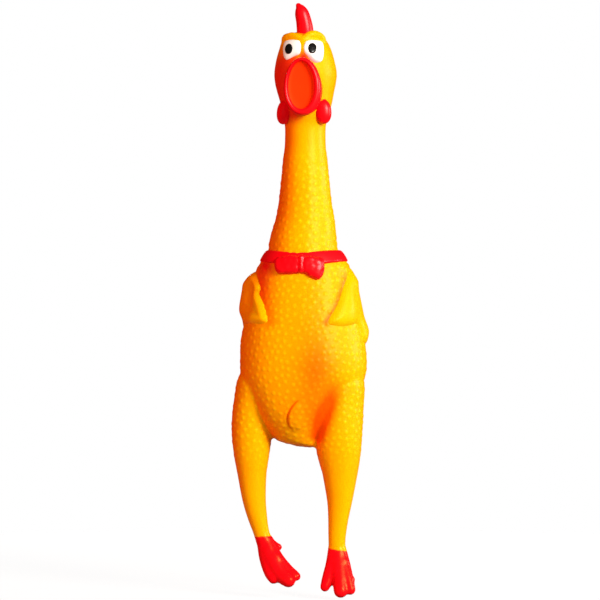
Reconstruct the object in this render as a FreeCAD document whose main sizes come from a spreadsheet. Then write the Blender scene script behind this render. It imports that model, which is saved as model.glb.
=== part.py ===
import FreeCAD
import Part
import Sketcher
import os
import re

# A squeaking rubber chicken held upright: +Z towards the comb, its face and belly towards -Y, so its own
# left is +X. The origin is where a hand grips the torso. All sizes are in millimetres.
#
# The skin is hollow soft vinyl. Where it bends, one stretch of skin ends in a ball and the next has a
# socket round the same centre, so each bend is a real joint with a small gap.

SIZES = {
    # soft skin
    "skin_wall": 2.0,
    "flex_gap": 0.4,
    "seat_gap": 0.1,
    # torso
    "torso_tall": 134.0,
    "torso_half_width": 41.5,
    "torso_half_depth": 32.0,
    "torso_top": 68.0,
    # belly panel
    "belly_half_width": 19.0,
    "belly_half_tall": 23.0,
    "belly_height": -8.0,
    # neck
    "neck_back": 2.0,
    "neck_base_height": 70.0,
    "neck_base_ball": 21.0,
    "neck_mid_height": 118.0,
    "neck_mid_ball": 15.0,
    "head_joint_height": 143.0,
    "head_ball": 12.0,
    "throat_wall": 1.6,
    # head
    "head_height": 186.0,
    "head_half_width": 20.0,
    "head_half_depth": 23.0,
    "head_half_tall": 29.0,
    # comb
    "comb_thick": 4.4,
    "comb_root_height": 208.5,
    "comb_root_radius": 3.0,
    "comb_root_long": 25.0,
    "comb_top": 233.7,
    "comb_slot": 10.0,
    # beak and mouth
    "beak_height": 176.2,
    "beak_side": 1.2,
    "beak_half_width": 12.5,
    "beak_half_tall": 19.3,
    "beak_front": -34.0,
    "lip_thick": 3.6,
    "cup_wall": 1.2,
    # eyes
    "eye_half_width": 6.3,
    "eye_deep": 5.0,
    "pupil_half_width": 2.7,
    "pupil_half_tall": 3.4,
    "pupil_deep": 2.0,
    # wattles
    "wattle_half_width": 4.5,
    "wattle_half_tall": 8.2,
    "wattle_half_depth": 5.0,
    # collar and bow
    "collar_radius": 27.6,
    "collar_bottom": 58.0,
    "collar_top": 66.7,
    "collar_soft": 2.0,
    "bow_front": 34.0,
    "bow_thick": 12.0,
    # wings
    "wing_thick": 3.2,
    "wing_top": 52.0,
    "wing_bottom": 18.5,
    "wing_tip_height": 6.0,
    # legs
    "left_hip_ball": 17.5,
    "right_hip_ball": 15.0,
    "left_knee_ball": 7.0,
    "right_knee_ball": 6.8,
    "ankle_ball": 4.6,
    "ankle_rim": 6.2,
    "toe_radius": 4.4,
    "spur_radius": 2.6,
    # squeaker
    "squeaker_height": 184.0,
    "squeaker_front": -18.0,
    "squeaker_long": 22.0,
    "squeaker_radius": 7.8,
    "squeaker_bore": 6.2,
    "squeaker_flange": 9.6,
    "squeaker_nose_hole": 2.0,
    "cap_thick": 1.6,
    "reed_long": 12.0,
    "reed_wide": 4.0,
    "reed_thick": 0.4,
}

# Joints, palm, toe tips and spur of each leg, as the soft legs happen to hang. Girth is (share of the way
# from hip to knee, share of the hip ball's radius).
LEGS = {
    "left": {
        "hip": (22.0, -5.0, -49.0), "knee": (24.0, -5.0, -103.0), "ankle": (22.2, -5.0, -129.0),
        "girth": [(0.10, 0.80), (0.24, 0.85), (0.46, 0.79), (0.74, 0.63), (0.90, 0.545), (1.0, 0.522)],
        "palm": (22.6, -9.5, -142.0),
        "tips": [(14.0, -17.0, -160.5), (25.2, -19.0, -164.5), (32.3, -17.0, -162.3)],
        "spur": (22.0, 4.5, -139.0),
    },
    "right": {
        "hip": (-34.0, -3.0, -47.0), "knee": (-34.0, -3.0, -100.0), "ankle": (-28.0, -3.0, -125.0),
        "girth": [(0.10, 0.80), (0.33, 0.83), (0.56, 0.72), (0.79, 0.625), (0.94, 0.60), (1.0, 0.595)],
        "palm": (-22.6, -7.0, -137.5),
        "tips": [(-22.0, -13.0, -155.0), (-11.5, -14.0, -156.5), (-5.5, -12.0, -151.0)],
        "spur": (-17.5, 2.0, -131.5),
    },
}

document = FreeCAD.newDocument("RubberChicken")
sheet = document.addObject("Spreadsheet::Sheet", "Sizes")
for row, (alias, size) in enumerate(SIZES.items(), start=1):
    sheet.set(f"A{row}", alias)
    sheet.set(f"B{row}", str(size))
    sheet.setAlias(f"B{row}", alias)
document.recompute()

UPRIGHT = FreeCAD.Rotation()
# An ellipse's long axis turned up and its plane turned to face -Y
FACING_FRONT = FreeCAD.Rotation(
    FreeCAD.Vector(0, 0, 1), FreeCAD.Vector(-1, 0, 0), FreeCAD.Vector(0, -1, 0), "XYZ")
LYING_ALONG_Y = FreeCAD.Rotation(FreeCAD.Vector(1, 0, 0), -90)
LEFT = 1
RIGHT = -1
SIDES = {"left": LEFT, "right": RIGHT}

nodes = []


# ---------------------------------------------------------------- building helpers

def cells(text):
    """Writes a formula of size names as a formula of spreadsheet cells."""
    def to_cell(found):
        word = found.group()
        return "Sizes." + word if word in SIZES else word
    return re.sub(r"[a-z]\w*", to_cell, str(text))


def bind(item, **formulas):
    for name, formula in formulas.items():
        item.setExpression(name, cells(formula))


def place(item, centre, turn=UPRIGHT):
    item.Placement = FreeCAD.Placement(FreeCAD.Vector(), turn)
    for axis, formula in zip("xyz", centre):
        item.setExpression("Placement.Base." + axis, cells(formula))


def ball(name, centre, radius):
    item = document.addObject("Part::Sphere", name)
    bind(item, Radius=radius)
    place(item, centre)
    return item


def egg(name, centre, across, deep, tall, turn=UPRIGHT):
    item = document.addObject("Part::Ellipsoid", name)
    bind(item, Radius1=tall, Radius2=across, Radius3=deep)
    place(item, centre, turn)
    return item


def rod(name, start, radius, length, turn=UPRIGHT):
    item = document.addObject("Part::Cylinder", name)
    bind(item, Radius=radius, Height=length)
    place(item, start, turn)
    return item


def block(name, corner, size):
    item = document.addObject("Part::Box", name)
    bind(item, Length=size[0], Width=size[1], Height=size[2])
    place(item, corner)
    return item


def loft(name, stations, turn=UPRIGHT):
    """A smooth solid through ellipses, each given as (centre, long radius, short radius)."""
    sections = []
    for number, (centre, long_radius, short_radius) in enumerate(stations):
        section = document.addObject("Part::Ellipse", f"{name}_section_{number}")
        bind(section, MajorRadius=long_radius, MinorRadius=short_radius)
        place(section, centre, turn)
        sections.append(section)
    item = document.addObject("Part::Loft", name)
    item.Sections = sections
    item.Solid = True
    return item


def fuse(name, *pieces):
    item = document.addObject("Part::MultiFuse", name)
    item.Shapes = list(pieces)
    return item


def cut(name, base, *tools):
    """Cuts each tool from the base in turn."""
    for number, tool in enumerate(tools):
        last = number == len(tools) - 1
        item = document.addObject("Part::Cut", name if last else f"{name}_step_{number}")
        item.Base = base
        item.Tool = tool
        base = item
    return base


def common(name, base, tool):
    item = document.addObject("Part::Common", name)
    item.Base = base
    item.Tool = tool
    return item


def keep(node, item):
    """Marks a finished sub-part; its label names its file."""
    item.Label = node
    nodes.append(item)


def polygon_sketch(body, name, plane_role, corners):
    """A closed outline on one of the body's own origin planes, each corner bound to the sheet."""
    sketch = body.newObject("Sketcher::SketchObject", name)
    plane = next(item for item in body.Origin.OriginFeatures if item.Role == plane_role)
    sketch.AttachmentSupport = [(plane, "")]
    sketch.MapMode = "FlatFace"
    values = [[evaluate(formula) for formula in corner] for corner in corners]
    for number, start in enumerate(values):
        end = values[(number + 1) % len(values)]
        sketch.addGeometry(Part.LineSegment(FreeCAD.Vector(*start, 0), FreeCAD.Vector(*end, 0)), False)
    for number, corner in enumerate(corners):
        following = (number + 1) % len(corners)
        sketch.addConstraint(Sketcher.Constraint("Coincident", number, 2, following, 1))
        for kind, value, formula in zip(("DistanceX", "DistanceY"), values[number], corner):
            index = sketch.addConstraint(Sketcher.Constraint(kind, -1, 1, number, 1, value))
            label = f"{kind}_{number}"
            sketch.renameConstraint(index, label)
            sketch.setExpression(f"Constraints.{label}", cells(formula))
    return sketch


def evaluate(formula):
    return float(sheet.evalExpression(re.sub(r"Sizes\.", "", cells(formula))))


def pad_body(name, plane_role, corners, length):
    """A body padded evenly to both sides of a plane."""
    body = document.addObject("PartDesign::Body", name)
    sketch = polygon_sketch(body, name + "_outline", plane_role, corners)
    pad = body.newObject("PartDesign::Pad", name + "_pad")
    pad.Profile = sketch
    pad.Midplane = True
    bind(pad, Length=length)
    return body


def turned_body(name, corners):
    """A body turned about the Z axis from an outline of (radius, height) corners."""
    body = document.addObject("PartDesign::Body", name)
    sketch = polygon_sketch(body, name + "_outline", "XZ_Plane", corners)
    revolution = body.newObject("PartDesign::Revolution", name + "_turn")
    revolution.Profile = sketch
    revolution.ReferenceAxis = (sketch, ["V_Axis"])
    revolution.Angle = 360
    return body


# ---------------------------------------------------------------- torso

# Shares of torso_tall below the top, of the half width and of the half depth; plain egg with a neck root
TORSO_STATIONS = [
    (0.00, 0.574, 0.744),
    (0.052, 0.590, 0.765),
    (0.097, 0.690, 0.800),
    (0.164, 0.800, 0.830),
    (0.284, 0.880, 0.885),
    (0.507, 0.990, 0.970),
    (0.694, 1.000, 1.000),
    (0.843, 0.900, 0.940),
    (0.940, 0.660, 0.720),
    (1.000, 0.300, 0.340),
]


def torso_form(name, grow):
    """The torso's outer form, moved outwards by grow."""
    stations = []
    for drop, across, deep in TORSO_STATIONS:
        height = f"torso_top - {drop} * torso_tall"
        stations.append((
            ("0", "0", height),
            f"{across} * torso_half_width + {grow}",
            f"{deep} * torso_half_depth + {grow}"))
    return loft(name, stations)


# Inner limit of each thigh: the torso keeps only what lies between them below the hips
THIGH_INNER_EDGE = {"left": 6.5, "right": -20.5}

torso_outer = torso_form("torso_outer", "0")
torso_clear = torso_form("torso_clear", "seat_gap")


def belly_column(name, grow):
    """A column along Y through the front of the belly."""
    stations = [
        (("0", "0", "belly_height"), f"belly_half_tall + {grow}", f"belly_half_width + {grow}"),
        (("0", "-60", "belly_height"), f"belly_half_tall + {grow}", f"belly_half_width + {grow}"),
    ]
    return loft(name, stations, FACING_FRONT)


def make_torso():
    """One hollow skin whose inside leaves a cup of skin round each hip's ball."""
    walls = []
    openings = [belly_column("belly_opening", "flex_gap")]
    for side, leg in LEGS.items():
        centre = leg["hip"]
        socket = f"{side}_hip_ball + flex_gap"
        walls.append(ball(f"{side}_hip_wall", centre, socket + " + skin_wall"))
        openings.append(ball(f"{side}_hip_socket", centre, socket))
        edge = THIGH_INNER_EDGE[side]
        left_corner = edge if side == "left" else edge - 40
        openings.append(block(f"{side}_hip_room", (left_corner, -50, f"{centre[2]} - 40"), (40, 100, 40)))
    neck_centre = ("0", "0", "neck_base_height")
    openings.append(ball("neck_root_socket", neck_centre, "neck_base_ball + flex_gap"))
    cavity = cut("torso_cavity", torso_form("torso_inner", "-skin_wall"), *walls)
    keep("torso_shell", cut("torso_body", torso_outer, cavity, *openings))
    belly_skin = cut("belly_skin", torso_form("belly_outer", "0"), torso_form("belly_inner", "-skin_wall"))
    keep("belly_panel", common("belly_front", belly_skin, belly_column("belly_edge", "0")))


def make_vent_fold():
    """A low upright fold of skin on the belly's keel."""
    fold = egg("vent_egg", ("-3", "-30.5", "-44"), 4.5, 4.5, 10.5)
    keep("vent_fold", cut("vent_piece", fold, torso_clear))


# ---------------------------------------------------------------- neck

def ball_and_sleeve(name, ball_centre, ball_radius, stations, wall, socket_centre, socket_radius):
    """A hollow stretch of skin: a ball at one end, a tapering sleeve, and a socket at the other end."""
    outer_sleeve = [(centre, radius, radius) for centre, radius in stations]
    inner_sleeve = [(centre, f"{radius} - {wall}", f"{radius} - {wall}") for centre, radius in stations]
    outer = fuse(name + "_outer", ball(name + "_ball", ball_centre, ball_radius),
                 loft(name + "_sleeve", outer_sleeve))
    inner = fuse(name + "_inner", ball(name + "_ball_hollow", ball_centre, f"{ball_radius} - {wall}"),
                 loft(name + "_sleeve_hollow", inner_sleeve))
    socket = ball(name + "_socket", socket_centre, f"{socket_radius} + flex_gap")
    return cut(name + "_skin", outer, inner, socket)


def neck_ring(height, radius):
    return (("0", "0", height), radius)


def make_neck():
    base = ("0", "0", "neck_base_height")
    middle = ("0", "0", "neck_mid_height")
    top = ("0", "0", "head_joint_height")
    lower_rings = [
        neck_ring("neck_base_height + 7", "0.86 * neck_base_ball"),
        neck_ring("neck_base_height + 16", "0.86 * neck_base_ball"),
        neck_ring("neck_base_height + 27", "0.85 * neck_base_ball"),
        neck_ring("neck_mid_height", "neck_mid_ball + flex_gap + throat_wall"),
    ]
    keep("lower_neck", ball_and_sleeve(
        "lower_neck", base, "neck_base_ball", lower_rings, "throat_wall", middle, "neck_mid_ball"))
    upper_rings = [
        neck_ring("neck_mid_height + 5", "0.83 * neck_mid_ball"),
        neck_ring("neck_mid_height + 13", "0.90 * neck_mid_ball"),
        neck_ring("head_joint_height", "head_ball + flex_gap + throat_wall"),
    ]
    keep("upper_neck", ball_and_sleeve(
        "upper_neck", middle, "neck_mid_ball", upper_rings, "throat_wall", top, "head_ball"))


# ---------------------------------------------------------------- head

HEAD_CENTRE = ("0.7", "neck_back", "head_height")


def head_form(name, grow):
    return egg(name, HEAD_CENTRE, f"head_half_width + {grow}", f"head_half_depth + {grow}",
               f"head_half_tall + {grow}")


def throat_form(name, grow):
    """The short stretch of neck between the head's ball and the jaw."""
    rings = [
        (("0", "0", "head_joint_height + 5"), "0.84 * head_ball"),
        (("0", "0", "head_joint_height + 14"), "0.90 * head_ball"),
        (("0.7", "neck_back", "head_height - 12"), "head_ball"),
    ]
    return loft(name, [(centre, f"{radius} + {grow}", f"{radius} + {grow}") for centre, radius in rings])


head_clear = head_form("head_clear", "seat_gap")


def make_head():
    top = ("0", "0", "head_joint_height")
    outer_throat = throat_form("throat_outer", "0")
    inner_throat = throat_form("throat_inner", "-throat_wall")
    trough = common(
        "comb_trough", head_form("head_for_trough", "0"),
        rod("comb_trough_rod", ("0", "neck_back - 0.5 * comb_root_long - 2", "comb_root_height"),
            "comb_root_radius + flex_gap + skin_wall", "comb_root_long + 4", LYING_ALONG_Y))
    outer = fuse("head_outer", head_form("head_egg", "0"), outer_throat, ball("head_ball", top, "head_ball"))
    inner = fuse("head_inner", head_form("head_hollow", "-skin_wall"), inner_throat,
                 ball("head_ball_hollow", top, "head_ball - throat_wall"))
    slot_start = "neck_back - 0.5 * comb_root_long - flex_gap"
    slot_long = "comb_root_long + 2 * flex_gap"
    slot_rod = rod("comb_slot_rod", ("0", slot_start, "comb_root_height"),
                   "comb_root_radius + flex_gap", slot_long, LYING_ALONG_Y)
    slot_block = block("comb_slot_block", ("-0.5 * comb_slot", slot_start, "comb_root_height"),
                       ("comb_slot", slot_long, 20))
    squeaker_hole = rod("squeaker_hole", ("beak_side", "-30", "squeaker_height"),
                        "squeaker_radius + seat_gap", 20, LYING_ALONG_Y)
    skin = fuse("head_skin", cut("head_hollowed", outer, inner), trough)
    keep("head_shell", cut("head_body", skin, slot_rod, slot_block, squeaker_hole))


def make_comb():
    """Four soft teeth on a straight root; the root is a rod that the fin bends about."""
    front = "(neck_back - 0.5 * comb_root_long)"
    back = "(neck_back + 0.5 * comb_root_long)"
    tip = "comb_top - comb_root_height"
    corners = [(front, "comb_root_height")]
    # Each tooth: shares of the root's length for its foot and tip, and of the height for both
    teeth = [(0.00, 0.42, 0.06, 0.86), (0.20, 0.62, 0.30, 1.00), (0.46, 0.66, 0.58, 0.96),
             (0.74, 0.62, 0.86, 0.82)]
    for foot, foot_rise, peak, peak_rise in teeth:
        corners.append((f"{front} + {foot} * comb_root_long", f"comb_root_height + {foot_rise} * ({tip})"))
        corners.append((f"{front} + {peak} * comb_root_long", f"comb_root_height + {peak_rise} * ({tip})"))
    corners.append((back, f"comb_root_height + 0.45 * ({tip})"))
    corners.append((back, "comb_root_height"))
    fin = pad_body("comb_fin", "YZ_Plane", corners, "comb_thick")
    root = rod("comb_root", ("0", front, "comb_root_height"), "comb_root_radius", "comb_root_long",
               LYING_ALONG_Y)
    keep("comb", fuse("comb_piece", fin, root))


def make_wattles():
    """Soft lobes below the jaw's corners; the left one is the wider."""
    lobes = {"left": ("13.8", "1.15 * wattle_half_width"), "right": ("-13.2", "0.90 * wattle_half_width")}
    for side, (across, half_width) in lobes.items():
        lobe = egg(f"wattle_{side}_lobe", (across, "-7.2", "160.2"), half_width, "wattle_half_depth",
                   "wattle_half_tall")
        keep(f"wattle_{side}", cut(f"wattle_{side}_piece", lobe, head_clear,
                                   throat_form(f"wattle_{side}_throat_room", "seat_gap")))


def beak_form(name, shares, grow):
    """A funnel that opens towards -Y; shares are (distance behind the front, width share, height share)."""
    stations = []
    for behind, across, tall in shares:
        stations.append((
            ("beak_side", f"beak_front + {behind}", "beak_height"),
            f"{tall} * beak_half_tall + {grow}",
            f"{across} * beak_half_width + {grow}"))
    return loft(name, stations, FACING_FRONT)


OUTER_BEAK = [(24, 0.76, 0.80), (14, 0.84, 0.86), (3, 1.00, 1.00), (0, 0.93, 0.96)]
INNER_BEAK = [(25, 0.76, 0.80), (14, 0.84, 0.86), (2, 0.97, 0.98), (-1, 1.00, 1.00)]


def make_beak():
    funnel = beak_form("beak_funnel", OUTER_BEAK, "0")
    inside = beak_form("beak_inside", INNER_BEAK, "-lip_thick")
    jaw_room = throat_form("beak_jaw_room", "seat_gap")
    keep("beak_rim", cut("beak_lip", funnel, inside, head_clear, jaw_room))


def make_mouth_cup():
    """The orange lining: a thin cup inside the lip, with the squeaker's sound hole in its floor."""
    lining = [(11, 0.86, 0.88), (4, 0.92, 0.94)]
    outside = beak_form("mouth_outside", lining, "-lip_thick - seat_gap")
    hollow = beak_form("mouth_hollow", [(9.5, 0.87, 0.89), (3, 0.93, 0.95)], "-lip_thick - seat_gap - cup_wall")
    sound_hole = rod("sound_hole", ("beak_side", "-30", "squeaker_height"), "squeaker_nose_hole", 12,
                     LYING_ALONG_Y)
    fit = beak_form("mouth_fit", INNER_BEAK, "-lip_thick - seat_gap")
    cup = cut("mouth_cup_plain", outside, hollow, sound_hole, head_clear)
    keep("mouth_cup", common("mouth_cup_piece", cup, fit))


def make_eyes():
    """Raised white ovals with black ovals on them; the left one is larger and droops outwards."""
    whites = {"left": ("8.0", "200.6", 8.2), "right": ("-6.2", "202.6", 6.6)}
    pupils = {"left": ("7.0", "-19.0", "202.6"), "right": ("-7.6", "-18.7", "202.3")}
    for side in SIDES:
        across, height, tall = whites[side]
        centre = (across, "-14.5", height)
        white = egg(f"eye_{side}_egg", centre, "eye_half_width", "eye_deep", tall)
        keep(f"eye_{side}", cut(f"eye_{side}_piece", white, head_clear,
                                beak_form(f"eye_{side}_beak_room", OUTER_BEAK, "seat_gap")))
        white_clear = egg(f"eye_{side}_clear", centre, "eye_half_width + seat_gap", "eye_deep + seat_gap",
                          f"{tall} + seat_gap")
        spot = egg(f"pupil_{side}_egg", pupils[side], "pupil_half_width", "pupil_deep", "pupil_half_tall")
        keep(f"pupil_{side}", cut(f"pupil_{side}_piece", spot, white_clear, head_form(
            f"pupil_{side}_head_room", "seat_gap")))


# ---------------------------------------------------------------- collar, bow and wings

def make_collar():
    inner = "22"
    corners = [
        (inner, "collar_bottom"),
        ("collar_radius - collar_soft", "collar_bottom"),
        ("collar_radius", "collar_bottom + collar_soft"),
        ("collar_radius", "collar_top - collar_soft"),
        ("collar_radius - collar_soft", "collar_top"),
        (inner, "collar_top"),
    ]
    band = turned_body("collar_ring", corners)
    keep("collar_band", cut("collar_piece", band, torso_clear))


def make_bow():
    """Two short lobes and a knot, one outline; the left lobe droops."""
    corners = [
        ("-16.5", "53"), ("-16.8", "61.5"), ("-13", "65"), ("-2.5", "62.5"), ("3.5", "63.5"), ("6", "61"),
        ("13.5", "59"), ("16", "53"), ("15", "47.5"), ("9", "49"), ("3.5", "53.5"), ("-2", "53"), ("-8", "52"),
    ]
    lobes = pad_body("bow_lobes", "XZ_Plane", corners, "bow_thick")
    place(lobes, ("0", "0.5 * bow_thick - bow_front", "0"))
    collar_room = rod("bow_collar_room", ("0", "0", "collar_bottom - 1"), "collar_radius + seat_gap", 12)
    keep("bow_tie", cut("bow_piece", lobes, torso_clear, collar_room))


def make_wings():
    """Folded wings that follow the torso's side, each hinged along its top edge."""
    layer_inner = torso_form("wing_inner_form", "flex_gap")
    for side, sign in SIDES.items():
        layer = cut(f"wing_{side}_layer", torso_form(f"wing_{side}_outer_form", "flex_gap + wing_thick"),
                    layer_inner)
        corners = [
            (f"{sign} * 27", "wing_top - 3"),
            (f"{sign} * 50", "wing_top - 3"),
            (f"{sign} * 50", "wing_tip_height"),
            (f"{sign} * 41", "wing_tip_height"),
            (f"{sign} * 28", "wing_bottom"),
            (f"{sign} * 16", "wing_bottom"),
        ]
        outline = pad_body(f"wing_{side}_outline", "XZ_Plane", corners, 46)
        keep(f"wing_{side}", common(f"wing_{side}_piece", layer, outline))


# ---------------------------------------------------------------- legs

def between(start, end, share):
    return tuple(a + share * (b - a) for a, b in zip(start, end))


def make_thigh(side, leg):
    stations = [(between(leg["hip"], leg["knee"], share), f"{girth} * {side}_hip_ball")
                for share, girth in leg["girth"]]
    keep(f"thigh_{side}", ball_and_sleeve(
        f"thigh_{side}", leg["hip"], f"{side}_hip_ball", stations, "throat_wall", leg["knee"],
        f"{side}_knee_ball"))


def make_shank(side, leg):
    # Shares of the way from knee to ankle, and the radius there
    girths = [(0.14, f"0.77 * {side}_knee_ball"), (0.55, f"0.85 * {side}_knee_ball"), (1.0, "ankle_rim")]
    stations = [(between(leg["knee"], leg["ankle"], share), girth) for share, girth in girths]
    keep(f"shank_{side}", ball_and_sleeve(
        f"shank_{side}", leg["knee"], f"{side}_knee_ball", stations, "throat_wall", leg["ankle"],
        "ankle_ball"))


def toe(name, start, end, radius):
    """An egg laid from start to end, a little longer than the stretch so that toes merge."""
    start = FreeCAD.Vector(*start)
    end = FreeCAD.Vector(*end)
    turn = FreeCAD.Rotation(FreeCAD.Vector(0, 0, 1), end - start)
    centre = (start + end) * 0.5
    return egg(name, tuple(centre), radius, radius, 0.5 * (end - start).Length + 2, turn)


def make_foot(side, leg):
    ankle, palm = leg["ankle"], leg["palm"]
    # The foot leaves its ankle ball thinner than the shank, then widens to the palm
    instep = between(ankle, palm, 0.55)
    pieces = [
        ball(f"foot_{side}_ball", ankle, "ankle_ball"),
        toe(f"foot_{side}_neck", ankle, palm, "0.78 * ankle_ball"),
        toe(f"foot_{side}_palm", instep, between(palm, leg["tips"][1], 0.35), "1.35 * toe_radius"),
        toe(f"foot_{side}_spur", between(ankle, palm, 0.8), leg["spur"], "spur_radius"),
    ]
    for number, tip in enumerate(leg["tips"], start=1):
        pieces.append(toe(f"foot_{side}_toe_{number}", palm, tip, "toe_radius"))
    keep(f"foot_{side}", fuse(f"foot_{side}_piece", *pieces))


# ---------------------------------------------------------------- squeaker

def lay_along_y(body, front):
    place(body, ("beak_side", front, "squeaker_height"), LYING_ALONG_Y)


def make_squeaker():
    """A barrel seated in the head's front wall, its cap behind, and a reed on a trough inside."""
    barrel = turned_body("housing_barrel", [
        ("squeaker_nose_hole", "0"),
        ("squeaker_radius", "0"),
        ("squeaker_radius", "6.5"),
        ("squeaker_flange", "6.5"),
        ("squeaker_flange", "8"),
        ("squeaker_radius", "8"),
        ("squeaker_radius", "squeaker_long"),
        ("squeaker_bore", "squeaker_long"),
        ("squeaker_bore", "cap_thick"),
        ("squeaker_nose_hole", "cap_thick"),
    ])
    lay_along_y(barrel, "squeaker_front")
    keep("squeaker_housing", barrel)
    cap = turned_body("cap_disc", [
        ("0", "0"), ("squeaker_bore - seat_gap", "0"), ("squeaker_bore - seat_gap", "2"),
        ("squeaker_radius", "2"), ("squeaker_radius", "2 + cap_thick"), ("0", "2 + cap_thick"),
    ])
    lay_along_y(cap, "squeaker_front + squeaker_long - 2")
    slots = [block(f"air_slot_{number}", ("beak_side - 4", "squeaker_front", f"squeaker_height + {height}"),
                   (8, "squeaker_long + 20", 1.4)) for number, height in enumerate((-3.6, -0.7, 2.2))]
    keep("squeaker_cap", cut("squeaker_cap_piece", cap, *slots))
    holder = turned_body("holder_rod", [
        ("0", "0"), ("squeaker_bore - seat_gap", "0"), ("squeaker_bore - seat_gap", "15"), ("0", "15")])
    lay_along_y(holder, "squeaker_front + cap_thick + 0.2")
    holder_start = "squeaker_front - 2"
    above = block("holder_above", ("beak_side - 10", holder_start, "squeaker_height - 1.5"), (20, 40, 20))
    channel = block("holder_channel", ("beak_side - 1.5", holder_start, "squeaker_height - 4"),
                    (3, "squeaker_long - 6", 4))
    keep("reed_holder", cut("reed_holder_piece", holder, above, channel))
    # The reed is clamped over the holder's back end and lifts at its front end
    keep("squeaker_reed", block("reed_strip", (
        "beak_side - 0.5 * reed_wide", "squeaker_front + cap_thick + 15 - reed_long",
        "squeaker_height - 1.45"), ("reed_wide", "reed_long", "reed_thick")))


# ---------------------------------------------------------------- build, check and write

make_torso()
make_vent_fold()
make_neck()
make_head()
make_comb()
make_wattles()
make_beak()
make_mouth_cup()
make_eyes()
make_collar()
make_bow()
make_wings()
for side_name, leg_shape in LEGS.items():
    make_thigh(side_name, leg_shape)
    make_shank(side_name, leg_shape)
    make_foot(side_name, leg_shape)
make_squeaker()
document.recompute()

for item in document.Objects:
    if "Invalid" in item.State or "Error" in item.State:
        raise RuntimeError(f"{item.Name} did not build: {item.State}")
for item in nodes:
    if item.Shape.isNull() or not item.Shape.isValid():
        raise RuntimeError(f"{item.Label} has no valid shape")

os.makedirs("parts", exist_ok=True)
for item in nodes:
    item.Shape.exportStep(f"parts/{item.Label}.step")
    box = item.Shape.BoundBox
    print(f"{item.Label}: {len(item.Shape.Solids)} solid, {item.Shape.Volume / 1000:.2f} cm3, "
          f"x {box.XMin:.1f}..{box.XMax:.1f}, y {box.YMin:.1f}..{box.YMax:.1f}, "
          f"z {box.ZMin:.1f}..{box.ZMax:.1f}")
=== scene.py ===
import math
import random

import bpy
import numpy as np
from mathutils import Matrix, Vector, bvhtree, kdtree, noise


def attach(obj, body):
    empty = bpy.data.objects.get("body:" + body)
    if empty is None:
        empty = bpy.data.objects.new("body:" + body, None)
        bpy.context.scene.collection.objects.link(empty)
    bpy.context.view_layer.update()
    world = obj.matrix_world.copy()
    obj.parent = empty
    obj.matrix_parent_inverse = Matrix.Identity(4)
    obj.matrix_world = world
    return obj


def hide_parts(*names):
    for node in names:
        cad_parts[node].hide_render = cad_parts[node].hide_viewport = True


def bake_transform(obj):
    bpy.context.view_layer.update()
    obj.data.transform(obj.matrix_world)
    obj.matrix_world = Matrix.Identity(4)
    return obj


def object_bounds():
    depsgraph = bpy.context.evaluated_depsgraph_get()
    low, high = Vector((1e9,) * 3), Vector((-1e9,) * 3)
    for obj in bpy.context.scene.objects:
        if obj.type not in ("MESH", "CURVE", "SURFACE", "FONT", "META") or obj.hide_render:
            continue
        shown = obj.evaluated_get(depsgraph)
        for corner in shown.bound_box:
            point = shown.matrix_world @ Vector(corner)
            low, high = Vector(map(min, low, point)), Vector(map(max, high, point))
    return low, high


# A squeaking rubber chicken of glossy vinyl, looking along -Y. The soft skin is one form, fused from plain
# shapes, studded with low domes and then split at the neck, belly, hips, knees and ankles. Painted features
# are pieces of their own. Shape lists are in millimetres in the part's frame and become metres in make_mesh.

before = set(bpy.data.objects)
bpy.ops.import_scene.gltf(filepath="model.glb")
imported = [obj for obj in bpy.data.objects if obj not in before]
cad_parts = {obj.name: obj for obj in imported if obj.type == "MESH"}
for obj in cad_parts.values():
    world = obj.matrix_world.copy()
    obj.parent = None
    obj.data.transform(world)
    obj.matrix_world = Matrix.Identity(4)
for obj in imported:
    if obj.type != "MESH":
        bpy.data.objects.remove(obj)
cad_low, cad_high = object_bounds()

MM = 0.001
ROUND = 2 * math.pi


# ---------------------------------------------------------------- plain numbers

def smooth_step(low, high, value):
    """0 below low, 1 above high and a smooth S between; works on arrays and with low above high."""
    share = np.clip((value - low) / (high - low), 0.0, 1.0)
    return share * share * (3 - 2 * share)


def dome_ramp(distance, width):
    """A rounded shoulder: 0 at the edge, 1 from width inwards."""
    share = np.clip(distance / width, 0.0, 1.0)
    return np.sqrt(1 - (1 - share) ** 2)


def through(stations, steps):
    """A Catmull-Rom line through the stations, with steps points from each to the next."""
    points = np.array(stations, float)
    padded = np.vstack([2 * points[0] - points[1], points, 2 * points[-1] - points[-2]])
    result = []
    for number in range(len(points) - 1):
        before, start, end, after = padded[number:number + 4]
        for step in range(steps):
            t = step / steps
            result.append(0.5 * (2 * start + (end - before) * t
                                 + (2 * before - 5 * start + 4 * end - after) * t * t
                                 + (3 * start - before - 3 * end + after) * t ** 3))
    result.append(points[-1])
    return np.array(result)


# ---------------------------------------------------------------- mesh helpers

COLUMN_STEPS = 4
LIMB_STEPS = 6
LIMB_END_TURNS = (0.5, 1.0, 1.4)
EGG_LEVELS = 28
THINNEST = 0.3
EASE_IN = 0.5
EASE_OUT = -0.52


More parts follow.
